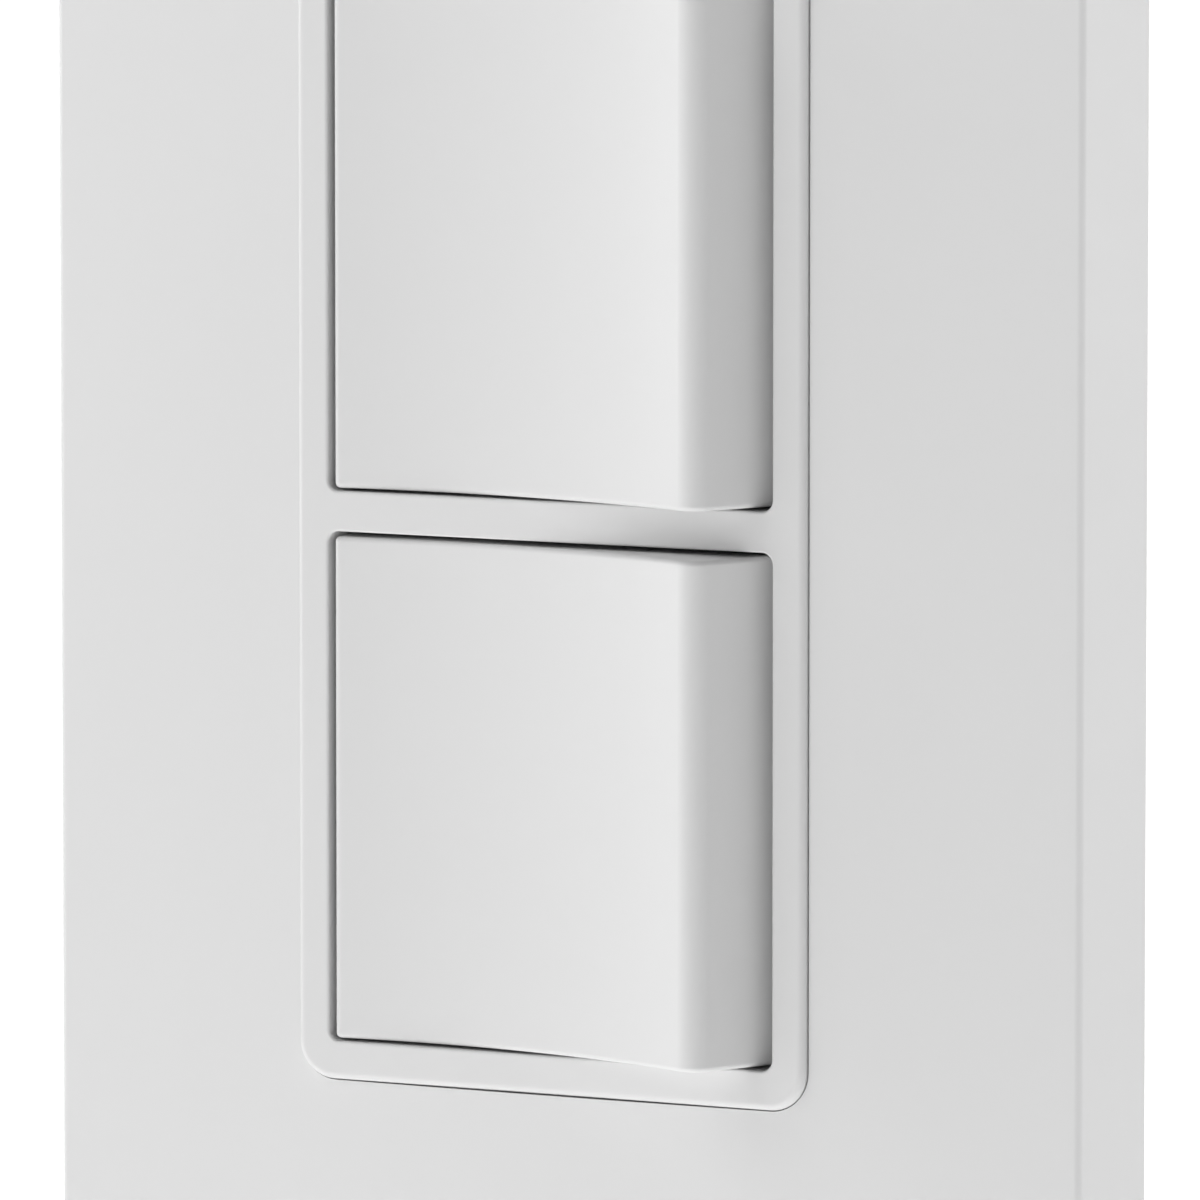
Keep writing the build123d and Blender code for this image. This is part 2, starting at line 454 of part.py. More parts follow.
def make_rocker(level, cell_z):
    z = cell_z - ROCKER_DROP
    section = turned(-ROCK, PIVOT_Y, z)
    bottom = turned(-ROCK, PIVOT_Y, z - ROCKER_H / 2)
    hollow_bottom = turned(-ROCK, PIVOT_Y, z - ROCKER_H / 2 + ROCKER_WALL)
    ceiling_y = FACE_CENTRE_Y + FACE_R + ROCKER_WALL
    with BuildPart() as rocker:
        with BuildSketch(bottom):
            with BuildLine():
                Polyline(*rocker_section(0), close=True)
            make_face()
            with Locations((0, FACE_CENTRE_Y)):
                Circle(FACE_R, mode=Mode.SUBTRACT)
        extrude(amount=ROCKER_H)
        ridges = rocker.edges().filter_by(Axis.Z).sort_by(Axis.Y)
        ridges = ridges.sort_by(lambda e: abs(section.to_local_coords(e.center()).Y - RIDGE_Y))[0:2]
        left_ridge, right_ridge = ridges.sort_by(Axis.X)
        fillet(left_ridge, LEFT_RIDGE_R)
        fillet(right_ridge, RIGHT_RIDGE_R)
        faces = rocker.faces().filter_by(Axis.Z)
        rims = faces.edges().filter_by(lambda e: section.to_local_coords(e.center()).Y < SKIRT_Y - BITE)
        fillet(rims, END_EDGE_R)
        with BuildSketch(hollow_bottom):
            with BuildLine():
                Polyline(*rocker_section(ROCKER_WALL), close=True)
            make_face()
            with Locations((0, FACE_CENTRE_Y)):
                Circle(FACE_R + ROCKER_WALL, mode=Mode.SUBTRACT)
        extrude(amount=ROCKER_H - 2 * ROCKER_WALL, mode=Mode.SUBTRACT)
        # ears and trunnions at both ends
        for way in (-1, 1):
            end = z + way * ROCKER_H / 2
            start = min(end, end - way * ROCKER_WALL)
            with BuildSketch(turned(-ROCK, PIVOT_Y, start)):
                with Locations((0, (SKIRT_Y - BITE) / 2)):
                    Rectangle(2 * EAR_R, -(SKIRT_Y - BITE))
                Circle(EAR_R)
            extrude(amount=ROCKER_WALL)
            root = end - way * BITE
            tip = cell_z + way * (WINDOW_H / 2 + BEARING_DEPTH - TRUNNION_END_GAP)
            with BuildSketch(Plane(origin=(0, PIVOT_Y, root), z_dir=(0, 0, way))):
                Circle(TRUNNION_R)
            extrude(amount=abs(tip - root))
        # ribs from the stem to the ends and the sides
        with BuildSketch(turned(-ROCK, PIVOT_Y, z - ROCKER_H / 2 + ROCKER_WALL / 2)):
            with Locations((0, (ceiling_y - BITE) / 2)):
                Rectangle(RIB_T, -(ceiling_y - BITE))
        extrude(amount=ROCKER_H - ROCKER_WALL)
        rib_bottom = SKIRT_Y - RIB_CUTBACK
        with BuildSketch(turned(-ROCK, PIVOT_Y, z - RIB_T / 2)):
            with BuildLine():
                half = side_x(rib_bottom, ROCKER_WALL / 2)
                left_side = [(-half, rib_bottom), (-half, ceiling_y)]
                right_side = [(half, ceiling_y), (half, rib_bottom)]
                Polyline(*left_side, *right_side, close=True)
            make_face()
            with Locations((0, FACE_CENTRE_Y)):
                Circle(FACE_R + ROCKER_WALL / 2, mode=Mode.SUBTRACT)
        extrude(amount=RIB_T)
        # stem with the plunger's bore
        with BuildSketch(looking_in(section, 0, ceiling_y - BITE)):
            Circle(STEM_R)
        extrude(amount=STEM_END - ceiling_y + BITE)
        with BuildSketch(looking_in(section, 0, SPRING_SEAT)):
            Circle(STEM_BORE_R)
        extrude(amount=STEM_END - SPRING_SEAT + PAST, mode=Mode.SUBTRACT)
    save(rocker.part, f"rocker_{level}")


def make_plunger(level, z):
    section = turned(-ROCK, PIVOT_Y, z)
    ball_y = PLUNGER_TIP - TIP_R
    lean = radians(NOSE_ANGLE)
    touch_x, touch_y = TIP_R * cos(lean), ball_y + TIP_R * sin(lean)
    nose_y = touch_y - (PLUNGER_R - touch_x) / tan(lean)
    with BuildPart() as plunger:
        with BuildSketch(section):
            with BuildLine():
                Polyline((0, PLUNGER_TIP), (0, PLUNGER_TOP), (PLUNGER_R - TOP_BEVEL, PLUNGER_TOP))
                Line((PLUNGER_R - TOP_BEVEL, PLUNGER_TOP), (PLUNGER_R, PLUNGER_TOP + TOP_BEVEL))
                Polyline((PLUNGER_R, PLUNGER_TOP + TOP_BEVEL), (PLUNGER_R, nose_y), (touch_x, touch_y))
                half = (lean + radians(90)) / 2
                ThreePointArc(
                    (touch_x, touch_y),
                    (TIP_R * cos(half), ball_y + TIP_R * sin(half)),
                    (0, PLUNGER_TIP),
                )
            make_face()
        revolve(axis=Axis(section.origin, section.y_dir))
    save(plunger.part, f"plunger_{level}")


def make_plunger_spring(level, z):
    section = turned(-ROCK, PIVOT_Y, z)
    length = PLUNGER_TOP - SPRING_SEAT
    start = looking_in(section, 0, SPRING_SEAT + SPRING_WIRE_R + SPRING_END_GAP)
    rise = length - 2 * (SPRING_WIRE_R + SPRING_END_GAP)
    coil = Helix(
        pitch=rise / SPRING_TURNS,
        height=rise,
        radius=SPRING_R,
        center=start.origin,
        direction=start.z_dir,
    )
    with BuildPart() as spring:
        with BuildSketch(Plane(origin=coil @ 0, z_dir=coil % 0)):
            Circle(SPRING_WIRE_R)
        sweep(path=coil, is_frenet=True)
    save(spring.part, f"plunger_spring_{level}")


# ---- contacts ----------------------------------------------------------------------------------
def bar_top(x):
    """Upper surface of the contact bar at a distance x from the middle, from the fulcrum axis."""
    inner = min(abs(x), BAR_BEND_X)
    outer = max(abs(x) - BAR_BEND_X, 0)
    return -BAR_RISE - inner * tan(radians(BAR_V)) - outer * tan(radians(CONTACT_ROCK))


BAR_XS = (-BAR_HALF, -BAR_BEND_X, 0, BAR_BEND_X, BAR_HALF)


def closed_contact():
    """Where the moving contact's face stops, in X and Y, when its side of the bar is pressed in."""
    a = radians(-CONTACT_ROCK)
    x, y = -CONTACT_X, bar_top(CONTACT_X)
    closed_x = x * cos(a) - y * sin(a)
    closed_y = x * sin(a) + y * cos(a)
    return closed_x, FULCRUM_Y + closed_y + BAR_T + CONTACT_T


def make_contact_bar(level, z):
    section_z = z - BAR_STRIP_H / 2
    with BuildPart() as bar:
        with BuildSketch(turned(CONTACT_ROCK, FULCRUM_Y, section_z)):
            with BuildLine():
                top = [(x, bar_top(x)) for x in BAR_XS]
                under = [(x, bar_top(x) + BAR_T) for x in reversed(BAR_XS)]
                Polyline(*top, *under, close=True)
            make_face()
        extrude(amount=BAR_STRIP_H)
        # ears that rock in the cradle
        for way in (-1, 1):
            start, end = (z + way * (BAR_STRIP_H / 2 + reach) for reach in (-BITE, BAR_EAR_T))
            top_left, top_right = (-BAR_EAR_HALF, -BAR_EAR_TOP), (BAR_EAR_HALF, -BAR_EAR_TOP)
            with BuildSketch(turned(CONTACT_ROCK, FULCRUM_Y, min(start, end))):
                with BuildLine():
                    Polyline(top_left, top_right, (FULCRUM_R, 0), (-FULCRUM_R, 0), close=True)
                make_face()
                Circle(FULCRUM_R)
            extrude(amount=BAR_EAR_T + BITE)
        # hole for the moving contact's shank
        section = turned(CONTACT_ROCK, FULCRUM_Y, z)
        with BuildSketch(looking_in(section, -CONTACT_X, bar_top(CONTACT_X), CONTACT_ROCK).offset(-PAST)):
            Circle(RIVET_SHANK_R + RIVET_SLIP)
        extrude(amount=BAR_T + 2 * PAST, mode=Mode.SUBTRACT)
    save(bar.part, f"contact_bar_{level}")


def make_moving_contact(level, z):
    """Silver button riveted under the left end of the contact bar."""
    section = turned(CONTACT_ROCK, FULCRUM_Y, z)
    under = looking_in(section, -CONTACT_X, bar_top(CONTACT_X), CONTACT_ROCK)
    strip = BAR_T * cos(radians(CONTACT_ROCK))
    with BuildPart() as contact:
        with BuildSketch(under.offset(strip + RIVET_SLIP)):
            Circle(CONTACT_R)
        extrude(amount=CONTACT_T)
        rim = contact.edges().sort_by(lambda e: under.to_local_coords(e.center()).Z)[-1]
        fillet(rim, CONTACT_EDGE_R)
        with BuildSketch(under.offset(-RIVET_TAIL_T / 2)):
            Circle(RIVET_SHANK_R)
        extrude(amount=strip + CONTACT_T / 2)
        with BuildSketch(under.offset(-RIVET_TAIL_T)):
            Circle(RIVET_TAIL_R)
        extrude(amount=RIVET_TAIL_T - RIVET_SLIP)
    save(contact.part, f"moving_contact_{level}")


def fixed_face_y():
    return closed_contact()[1] + CLOSED_GAP


def make_fixed_contact(level, z):
    """Silver button riveted to the load terminal's arm."""
    x = closed_contact()[0]
    face = fixed_face_y()
    arm = face + CONTACT_T
    with BuildPart() as contact:
        with BuildSketch(facing_back(face, x, z)):
            Circle(CONTACT_R)
        extrude(amount=CONTACT_T)
        fillet(contact.edges().sort_by(Axis.Y)[0], CONTACT_EDGE_R)
        with BuildSketch(facing_back(face + CONTACT_T / 2, x, z)):
            Circle(RIVET_SHANK_R)
        extrude(amount=CONTACT_T / 2 + LOAD_ARM_T + RIVET_TAIL_T)
        with BuildSketch(facing_back(arm + LOAD_ARM_T, x, z)):
            Circle(RIVET_TAIL_R)
        extrude(amount=RIVET_TAIL_T)
    save(contact.part, f"fixed_contact_{level}")


# ---- terminals ---------------------------------------------------------------------------------
def make_line_terminal():
    """Shared feed: two screw plates on the right, joined by a break-off link, with a cradle for each bar."""
    plate_x = (POCKET_X, POCKET_X + TERMINAL_T)
    with BuildPart() as terminal:
        for way in (-1, 1):
            with BuildSketch(facing_side(POCKET_X, 1)):
                with Locations(((TERMINAL_TOP_Y + CRADLE_BACK) / 2, way * TERMINAL_Z)):
                    RectangleRounded(CRADLE_BACK - TERMINAL_TOP_Y, TERMINAL_H, TERMINAL_R)
            extrude(amount=TERMINAL_T)
            arm_z = about(way * CELL_Z, BAR_STRIP_H)
            add(block((0, POCKET_X + BITE), (CRADLE_BACK - ARM_T, CRADLE_BACK), arm_z))
            cradle_z = about(way * CELL_Z, CRADLE_H)
            add(block((-CRADLE_HALF_X, CRADLE_HALF_X), (CRADLE_Y, CRADLE_BACK), cradle_z))
        add(block(plate_x, LINK_Y, about(0, 2 * (TERMINAL_Z - TERMINAL_H / 2 + BITE))))
        # notches that leave narrow waists, where the link breaks off
        waist = about(sum(LINK_Y) / 2, LINK_WAIST)
        past_plate = (POCKET_X - PAST, POCKET_X + TERMINAL_T + PAST)
        for notch_y in ((LINK_Y[0], waist[0]), (waist[1], LINK_Y[1])):
            for way in (-1, 1):
                notch = block(past_plate, notch_y, about(way * LINK_NOTCH_Z, LINK_NOTCH_W))
                add(notch, mode=Mode.SUBTRACT)
        # grooves that the bars' ears rock in
        for way in (-1, 1):
            with BuildSketch(Plane(origin=(0, FULCRUM_Y, way * CELL_Z - CRADLE_H), z_dir=(0, 0, 1))):
                Circle(CRADLE_R)
            extrude(amount=2 * CRADLE_H, mode=Mode.SUBTRACT)
        with BuildSketch(facing_side(POCKET_X - PAST, 1)):
            with Locations((TERMINAL_Y, TERMINAL_Z), (TERMINAL_Y, -TERMINAL_Z)):
                Circle(THREAD_8_R + SLIP)
        extrude(amount=TERMINAL_T + 2 * PAST, mode=Mode.SUBTRACT)
    save(terminal.part, "line_terminal")


def make_load_terminal(level, z):
    """Screw plate on the left with an arm to the fixed contact."""
    way = 1 if z > 0 else -1
    arm = fixed_face_y() + CONTACT_T
    with BuildPart() as terminal:
        with BuildSketch(facing_side(-POCKET_X, -1)):
            with Locations((-(TERMINAL_TOP_Y + CRADLE_BACK) / 2, way * TERMINAL_Z)):
                RectangleRounded(CRADLE_BACK - TERMINAL_TOP_Y, TERMINAL_H, TERMINAL_R)
        extrude(amount=TERMINAL_T)
        arm_x = (-POCKET_X - BITE, -LOAD_ARM_END)
        add(block(arm_x, (arm, arm + LOAD_ARM_T), about(z, LOAD_ARM_H)))
        with BuildSketch(facing_side(-POCKET_X + PAST, -1)):
            with Locations((-TERMINAL_Y, way * TERMINAL_Z)):
                Circle(THREAD_8_R + SLIP)
        extrude(amount=TERMINAL_T + 2 * PAST, mode=Mode.SUBTRACT)
        with BuildSketch(facing_back(arm - PAST, closed_contact()[0], z)):
            Circle(RIVET_SHANK_R + RIVET_SLIP)
        extrude(amount=LOAD_ARM_T + 2 * PAST, mode=Mode.SUBTRACT)
    save(terminal.part, f"load_terminal_{level}")


# ---- housing -----------------------------------------------------------------------------------
def make_rear_housing():
    floor_y = HOUSING_D - HOUSING_BACK
    into_floor = floor_y + BITE
    inner_x = HOUSING_W / 2 - HOUSING_WALL
    skin_x = HOUSING_W / 2 - BITE
    pocket_in = POCKET_X - POCKET_FLOOR
    with BuildPart() as housing:
        with BuildSketch(facing_back(-STRAP_BACK)):
            RectangleRounded(HOUSING_W, HOUSING_H, HOUSING_R)
        extrude(amount=HOUSING_D + STRAP_BACK)
        chamfer(housing.faces().sort_by(Axis.Y)[-1].edges(), HOUSING_BEVEL)
        with BuildSketch(facing_back(-PAST)):
            RectangleRounded(2 * inner_x, HOUSING_H - 2 * HOUSING_WALL, CAVITY_R)
            with GridLocations(2 * COLUMN_X + COLUMN, 2 * COLUMN_Z + COLUMN, 2, 2):
                Rectangle(COLUMN, COLUMN, mode=Mode.SUBTRACT)
        extrude(amount=floor_y + PAST, mode=Mode.SUBTRACT)
        # partition between the two switches, and pedestals under the cradles and the fixed contacts
        add(block(about(0, 2 * (inner_x + BITE)), (PARTITION_Y, into_floor), about(0, PARTITION_T)))
        arm_back = fixed_face_y() + CONTACT_T + LOAD_ARM_T
        contact_x = closed_contact()[0]
        for z in LEVELS.values():
            for x, start, (wide, high) in (
                (0, CRADLE_BACK, PEDESTAL),
                (contact_x, arm_back, CONTACT_PEDESTAL),
            ):
                add(block(about(x, wide), (start, into_floor), about(z, high)))
            with BuildSketch(facing_back(arm_back - PAST, contact_x, z)):
                Circle(RIVET_TAIL_R + HEAD_ROOM)
            extrude(amount=PAST + RIVET_TAIL_T + HEAD_ROOM, mode=Mode.SUBTRACT)
        # pockets in the sides for the screw terminals
        for side in (-1, 1):
            for way in (-1, 1):
                walls_x = sorted((side * pocket_in, side * skin_x))
                walls_y = (POCKET_Y[0] - POCKET_WALL, POCKET_Y[1] + POCKET_WALL)
                add(block(walls_x, walls_y, about(way * TERMINAL_Z, POCKET_H + 2 * POCKET_WALL)))
            if side > 0:
                link_walls_y = (LINK_Y[0] - POCKET_WALL, LINK_Y[1] + POCKET_WALL)
                link_walls_z = about(0, 2 * (TERMINAL_Z - POCKET_H / 2 + POCKET_WALL))
                add(block((pocket_in, skin_x), link_walls_y, link_walls_z))
            for way in (-1, 1):
                hole_x = sorted((side * POCKET_X, side * HOUSING_W))
                add(block(hole_x, POCKET_Y, about(way * TERMINAL_Z, POCKET_H)), mode=Mode.SUBTRACT)
                arm_x = sorted((side * (pocket_in - PAST), side * (POCKET_X + PAST)))
                arm_y = (CRADLE_Y - ARM_ROOM, CRADLE_BACK + ARM_ROOM)
                add(block(arm_x, arm_y, about(way * CELL_Z, CRADLE_H + 2 * ARM_ROOM)), mode=Mode.SUBTRACT)
            if side > 0:
                link_y = (LINK_Y[0] - ARM_ROOM, LINK_Y[1] + ARM_ROOM)
                add(block((POCKET_X, HOUSING_W), link_y, about(0, 2 * TERMINAL_Z)), mode=Mode.SUBTRACT)
        with BuildSketch(Plane.YZ.offset(-HOUSING_W)):
            with Locations((TERMINAL_Y, TERMINAL_Z), (TERMINAL_Y, -TERMINAL_Z)):
                Circle(THREAD_8_R + HEAD_ROOM)
        extrude(amount=2 * HOUSING_W, mode=Mode.SUBTRACT)
        # rivet holes with recessed seats at the back
        with BuildSketch(facing_back(-PAST)):
            with GridLocations(2 * RIVET_X, 2 * RIVET_Z, 2, 2):
                Circle(RIVET_R + SLIP)
        extrude(amount=HOUSING_D + 2 * PAST, mode=Mode.SUBTRACT)
        with BuildSketch(facing_back(HOUSING_D - SEAT_DEPTH)):
            with GridLocations(2 * RIVET_X, 2 * RIVET_Z, 2, 2):
                Circle(RIVET_HEAD_R + HEAD_ROOM)
        extrude(amount=SEAT_DEPTH + PAST, mode=Mode.SUBTRACT)
    save(housing.part, "rear_housing")


def make_assembly_rivets():
    """Rivets that clamp the face frame, strap and housing together, with their clenched ends at the back."""
    front = -(STRAP_T + FLANGE_T) + SLIP
    back = HOUSING_D - SEAT_DEPTH + SLIP + RIVET_HEAD_T
    with BuildPart() as rivets:
        for radius, start, end in (
            (RIVET_HEAD_R, front, front + RIVET_HEAD_T - SLIP),
            (RIVET_R, front, back),
            (RIVET_HEAD_R, back - RIVET_HEAD_T, back),
        ):
            with BuildSketch(facing_back(start)):
                with GridLocations(2 * RIVET_X, 2 * RIVET_Z, 2, 2):
                    Circle(radius)
            extrude(amount=end - start)
    save(rivets.part, "assembly_rivets")


if __name__ == "__main__":
    os.makedirs("parts", exist_ok=True)
    make_wall_plate_cover()
    make_wall_plate_adapter()
    make_adapter_screws()
    make_mounting_strap()
    make_box_screws()
    make_screw_retainers()
    make_ground_screw()
    make_face_frame()
    make_rear_housing()
    make_assembly_rivets()
    make_line_terminal()
    make_terminal_screws("line_screws", 1, (-TERMINAL_Z, TERMINAL_Z))
    make_terminal_screws("load_screws", -1, (-TERMINAL_Z, TERMINAL_Z))
    for level_name, level_z in LEVELS.items():
        make_rocker(level_name, level_z)
        make_plunger(level_name, level_z)
        make_plunger_spring(level_name, level_z)
        make_contact_bar(level_name, level_z)
        make_moving_contact(level_name, level_z)
        make_fixed_contact(level_name, level_z)
        make_load_terminal(level_name, level_z)
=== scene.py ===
"""Rocker wall switch: materials, screw threads, springs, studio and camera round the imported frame."""

import json
import math

import bmesh
import bpy
from mathutils import Matrix, Vector


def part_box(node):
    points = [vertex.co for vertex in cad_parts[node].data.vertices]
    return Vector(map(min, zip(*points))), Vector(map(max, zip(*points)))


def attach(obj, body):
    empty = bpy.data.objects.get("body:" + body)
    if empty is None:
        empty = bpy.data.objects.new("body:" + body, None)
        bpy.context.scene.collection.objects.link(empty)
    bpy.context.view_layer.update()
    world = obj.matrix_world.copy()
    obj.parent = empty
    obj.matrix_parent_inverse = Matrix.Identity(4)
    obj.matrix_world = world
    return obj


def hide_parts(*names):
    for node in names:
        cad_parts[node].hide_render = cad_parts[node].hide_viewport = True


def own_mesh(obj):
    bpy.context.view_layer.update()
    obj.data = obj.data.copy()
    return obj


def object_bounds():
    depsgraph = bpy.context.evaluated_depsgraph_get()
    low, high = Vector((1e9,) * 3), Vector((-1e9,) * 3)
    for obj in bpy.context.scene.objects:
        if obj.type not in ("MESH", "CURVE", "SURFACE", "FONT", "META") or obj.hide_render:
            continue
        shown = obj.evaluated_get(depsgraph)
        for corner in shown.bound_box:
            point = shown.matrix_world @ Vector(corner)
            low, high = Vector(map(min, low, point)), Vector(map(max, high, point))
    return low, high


MM = 0.001
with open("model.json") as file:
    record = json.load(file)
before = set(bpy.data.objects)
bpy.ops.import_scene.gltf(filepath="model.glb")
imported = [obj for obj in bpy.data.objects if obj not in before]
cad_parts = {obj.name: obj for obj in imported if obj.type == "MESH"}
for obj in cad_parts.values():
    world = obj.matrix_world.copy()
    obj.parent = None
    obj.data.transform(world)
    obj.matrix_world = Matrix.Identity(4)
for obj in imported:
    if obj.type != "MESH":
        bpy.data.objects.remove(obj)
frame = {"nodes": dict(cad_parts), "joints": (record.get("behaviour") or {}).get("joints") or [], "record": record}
cad_low, cad_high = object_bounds()
nodes = frame["nodes"]


# ---- node-graph helpers ------------------------------------------------------------------------
class Graph:
    """A material's node tree, with short ways to add and join nodes."""

    def __init__(self, name):
        self.material = bpy.data.materials.new(name)
        self.material.use_nodes = True
        self.tree = self.material.node_tree
        self.shader = self.tree.nodes["Principled BSDF"]
        coordinates = self.tree.nodes.new("ShaderNodeTexCoord")
        self.place = coordinates.outputs["Object"]

    def add(self, kind, inputs=None, **settings):
        """A node with its settings, and its inputs set or linked."""
        node = self.tree.nodes.new(kind)
        for key, value in settings.items():
            setattr(node, key, value)
        for key, value in (inputs or {}).items():
            self.set(node.inputs[key], value)
        return node

    def set(self, socket, value):
        """Links a node's output to the socket, or sets a plain value."""
        if isinstance(value, bpy.types.NodeSocket):
            self.tree.links.new(value, socket)
        else:
            socket.default_value = value

    def stretch(self, x, y, z):
        """Object coordinates scaled along each axis; a small number draws features out along it."""
        node = self.add("ShaderNodeMapping", {"Vector": self.place})
        node.inputs["Scale"].default_value = (x, y, z)
        return node.outputs["Vector"]

    def noise(self, size_mm, detail=3.0, where=None):
        """Noise whose features are about that many millimetres across."""
        inputs = {"Vector": where or self.place, "Scale": 1 / (size_mm * MM), "Detail": detail}
        return self.add("ShaderNodeTexNoise", inputs).outputs["Fac"]

    def ranged(self, value, low, high, start=0.0, end=1.0):
        """A value from start to end, spread between low and high."""
        inputs = {"Value": value, "From Min": start, "From Max": end, "To Min": low, "To Max": high}
        return self.add("ShaderNodeMapRange", inputs).outputs["Result"]

    def blend(self, factor, first, second):
        """A colour from the first, at factor 0, to the second, at 1."""
        node = self.add("ShaderNodeMix", data_type="RGBA")
        self.set(node.inputs["Factor"], factor)
        self.set(node.inputs["A"], first)
        self.set(node.inputs["B"], second)
        return node.outputs["Result"]

    def bump(self, height, depth_mm, strength=1.0, under=None):
        """Fine relief, on top of another relief if one is given."""
        inputs = {"Height": height, "Distance": depth_mm * MM, "Strength": strength}
        if under is not None:
            inputs["Normal"] = under
        return self.add("ShaderNodeBump", inputs).outputs["Normal"]

    def finish(self, **inputs):
        """Sets the shader's inputs, named with _ for each space, and returns the material."""
        for key, value in inputs.items():
            self.set(self.shader.inputs[key.replace("_", " ")], value)
        return self.material


def grey(value):
    return (value, value, value, 1.0)


def specks(graph, spacing_mm, radius):
    """Sparse dust marks: 1 close to the scattered points of a pattern, few of which lie on a surface, else 0.

    The radius is a share of the points' spacing."""
    cells = graph.add("ShaderNodeTexVoronoi", {"Vector": graph.place, "Scale": 1 / (spacing_mm * MM)})
    return graph.ranged(cells.outputs["Distance"], 1.0, 0.0, radius * 0.4, radius)


# ---- materials ---------------------------------------------------------------------------------
def moulded_white(name, shade, gloss, grain_mm, grain_depth):
    """Satin white thermoplastic: fine mould grain, faint flow variation and a few dust marks."""
    graph = Graph(name)
    flow = graph.noise(14, 2, graph.stretch(1.0, 1.0, 0.35))
    colour = graph.blend(flow, grey(shade * 0.985), grey(shade * 1.01))
    dust = specks(graph, 11, 0.018)
    colour = graph.blend(dust, colour, grey(shade * 0.72))
    rough = graph.ranged(graph.noise(3.5, 4), gloss - 0.05, gloss + 0.07)
    swell = graph.bump(graph.noise(6, 2), 0.012, 0.5)
    normal = graph.bump(graph.noise(grain_mm, 3), grain_depth, 1.0, swell)
    return graph.finish(Base_Color=colour, Roughness=rough, Normal=normal, IOR=1.5)


def dark_thermoset(name):
    """Dark grey moulding compound, mottled and slightly rough."""
    graph = Graph(name)
    mottle = graph.noise(2.5, 5)
    colour = graph.blend(mottle, (0.035, 0.036, 0.04, 1), (0.06, 0.061, 0.066, 1))
    rough = graph.ranged(graph.noise(1.2, 4), 0.38, 0.62)
    normal = graph.bump(graph.noise(0.35, 3), 0.02)
    return graph.finish(Base_Color=colour, Roughness=rough, Normal=normal)


def plated_steel(name, tint, along, rough):
    """Plated metal with drawing marks along one axis and a mottled surface."""
    graph = Graph(name)
    stretch = {"X": (0.05, 1, 1), "Y": (1, 0.05, 1), "Z": (1, 1, 0.05)}[along]
    lines = graph.noise(0.25, 3, graph.stretch(*stretch))
    mottle = graph.noise(4, 4)
    dark = tuple(c * 0.8 for c in tint) + (1,)
    colour = graph.blend(graph.ranged(mottle, 0, 1, 0.3, 0.7), dark, tint + (1,))
    roughness = graph.ranged(mottle, rough - 0.06, rough + 0.12)
    normal = graph.bump(lines, 0.006)
    return graph.finish(Base_Color=colour, Roughness=roughness, Normal=normal, Metallic=1.0)


def brass(name):
    """Stamped brass strip with patches of tarnish."""
    graph = Graph(name)
    tarnish = graph.noise(3, 5)
    bright, dull = (0.72, 0.53, 0.24, 1), (0.54, 0.37, 0.16, 1)
    colour = graph.blend(graph.ranged(tarnish, 0, 1, 0.35, 0.75), bright, dull)
    roughness = graph.ranged(graph.noise(1.5, 4), 0.2, 0.38)
    normal = graph.bump(graph.noise(0.2, 2, graph.stretch(1, 1, 0.08)), 0.005)
    return graph.finish(Base_Color=colour, Roughness=roughness, Normal=normal, Metallic=1.0)


def coated_metal(name, colour, worn, metallic, rough):
    """Plated or painted fastener, worn in patches."""
    graph = Graph(name)
    patch = graph.ranged(graph.noise(0.9, 5), 0, 1, 0.45, 0.8)
    tone = graph.blend(patch, colour + (1,), worn + (1,))
    roughness = graph.ranged(graph.noise(0.6, 4), rough - 0.08, rough + 0.1)
    normal = graph.bump(graph.noise(0.15, 3), 0.004)
    return graph.finish(Base_Color=tone, Roughness=roughness, Normal=normal, Metallic=metallic)


def nylon(name):
    """Cream-coloured nylon of the plungers."""
    graph = Graph(name)
    colour = graph.blend(graph.noise(2, 3), (0.74, 0.71, 0.62, 1), (0.82, 0.8, 0.73, 1))
    rough = graph.ranged(graph.noise(1, 3), 0.3, 0.45)
    normal = graph.bump(graph.noise(0.3, 3), 0.006)
    return graph.finish(Base_Color=colour, Roughness=rough, Normal=normal)


def pressed_fibre(name):
    """Brown pressed fibre of the screw retainers."""
    graph = Graph(name)
    fibres = graph.noise(0.35, 5, graph.stretch(0.25, 1, 1))
    colour = graph.blend(fibres, (0.26, 0.17, 0.09, 1), (0.45, 0.33, 0.2, 1))
    rough = graph.ranged(fibres, 0.7, 0.95)
    normal = graph.bump(fibres, 0.03)
    return graph.finish(Base_Color=colour, Roughness=rough, Normal=normal)


MATERIALS = {
    "plate_white": moulded_white("plate_white", 0.747, 0.42, 0.5, 0.004),
    "device_white": moulded_white("device_white", 0.737, 0.36, 0.45, 0.003),
    "adapter_white": moulded_white("adapter_white", 0.72, 0.55, 0.4, 0.006),
    "strap_steel": plated_steel("strap_steel", (0.4, 0.41, 0.42), "Z", 0.42),
    "screw_steel": plated_steel("screw_steel", (0.46, 0.47, 0.48), "X", 0.34),
    "screw_white": coated_metal("screw_white", (0.78, 0.78, 0.77), (0.6, 0.6, 0.6), 0.0, 0.4),
    "screw_black": coated_metal("screw_black", (0.06, 0.06, 0.065), (0.2, 0.2, 0.2), 1.0, 0.42),
    "screw_brass": coated_metal("screw_brass", (0.7, 0.5, 0.21), (0.56, 0.42, 0.22), 1.0, 0.3),
    "screw_green": coated_metal("screw_green", (0.03, 0.28, 0.1), (0.15, 0.4, 0.22), 0.6, 0.35),
    "terminal_brass": brass("terminal_brass"),
    "contact_silver": plated_steel("contact_silver", (0.82, 0.81, 0.78), "Z", 0.25),
    "spring_steel": plated_steel("spring_steel", (0.5, 0.5, 0.5), "Y", 0.28),
    "housing_grey": dark_thermoset("housing_grey"),
    "plunger_nylon": nylon("plunger_nylon"),
    "retainer_fibre": pressed_fibre("retainer_fibre"),
}
